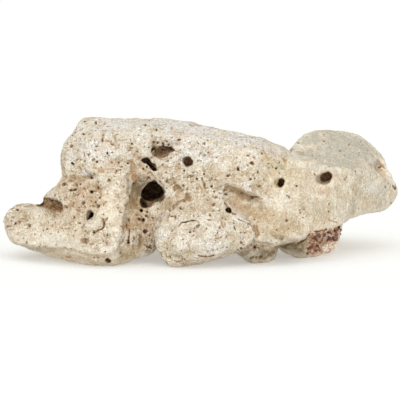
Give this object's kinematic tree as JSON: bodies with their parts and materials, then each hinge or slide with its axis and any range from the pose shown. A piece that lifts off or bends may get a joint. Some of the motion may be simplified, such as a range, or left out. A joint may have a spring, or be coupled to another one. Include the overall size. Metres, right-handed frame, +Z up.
{
  "type": "drilled limestone",
  "caption": "Weathered cream limestone rock, pitted and bored through with holes, standing free on small flat feet.",
  "frame": {"origin": "middle of the stone's box, on the plane that its feet stand on", "axes": "+X along the stone to the smooth pointed end, +Y away from the bored front, +Z up"},
  "size_m": [0.302, 0.165, 0.1032],
  "materials": {
    "limestone": "matt, chalky, pitted"
  },
  "bodies": {
    "root": {"limestone": "limestone"}
  },
  "joints": []
}
